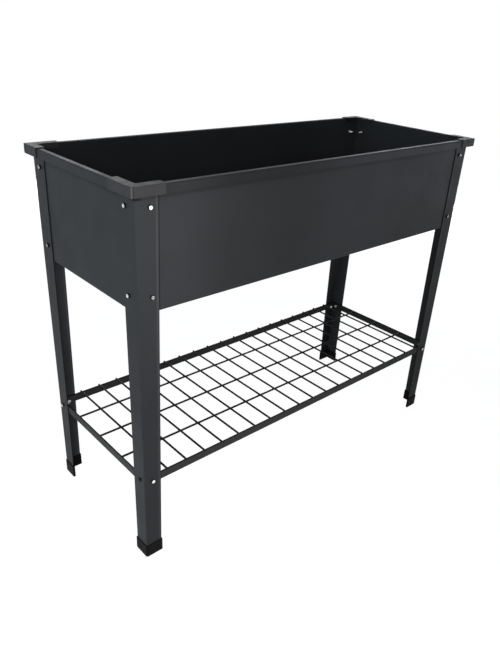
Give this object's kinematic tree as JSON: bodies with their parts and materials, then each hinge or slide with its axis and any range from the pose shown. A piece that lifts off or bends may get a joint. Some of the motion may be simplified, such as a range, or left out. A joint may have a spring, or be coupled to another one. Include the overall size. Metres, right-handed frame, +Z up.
{
  "type": "raised planter on legs",
  "caption": "Rectangular sheet-steel planter trough with folded rims and corner caps, raised on tapered angle legs with foot caps, with a bolted wire shelf below.",
  "frame": {"origin": "on the ground, midway between the four feet in plan", "axes": "+Z up, +X along the long side to the right, -Y out of the front long side"},
  "size_m": [1, 0.391, 0.8],
  "materials": {
    "leg_coating": "satin",
    "panel_coating": "satin",
    "base_coating": "satin",
    "shelf_coating": "satin",
    "wire_coating": "satin",
    "cap_plastic": "matte",
    "foot_plastic": "matte",
    "fastener_steel": "satin"
  },
  "bodies": {
    "root": {"leg_front_left": "leg_coating", "foot_cap_front_left": "foot_plastic", "corner_cap_front_left": "cap_plastic", "leg_front_right": "leg_coating", "foot_cap_front_right": "foot_plastic", "corner_cap_front_right": "cap_plastic", "leg_back_left": "leg_coating", "foot_cap_back_left": "foot_plastic", "corner_cap_back_left": "cap_plastic", "leg_back_right": "leg_coating", "foot_cap_back_right": "foot_plastic", "corner_cap_back_right": "cap_plastic", "front_panel": "panel_coating", "back_panel": "panel_coating", "left_panel": "panel_coating", "right_panel": "panel_coating", "base_sheet": "base_coating", "shelf_front_rail": "shelf_coating", "shelf_back_rail": "shelf_coating", "shelf_left_rail": "shelf_coating", "shelf_right_rail": "shelf_coating", "shelf_cross_wires": "wire_coating", "shelf_long_wires": "wire_coating", "panel_bolts": "fastener_steel", "panel_nuts": "fastener_steel", "shelf_bolts": "fastener_steel", "shelf_nuts": "fastener_steel"}
  },
  "joints": []
}
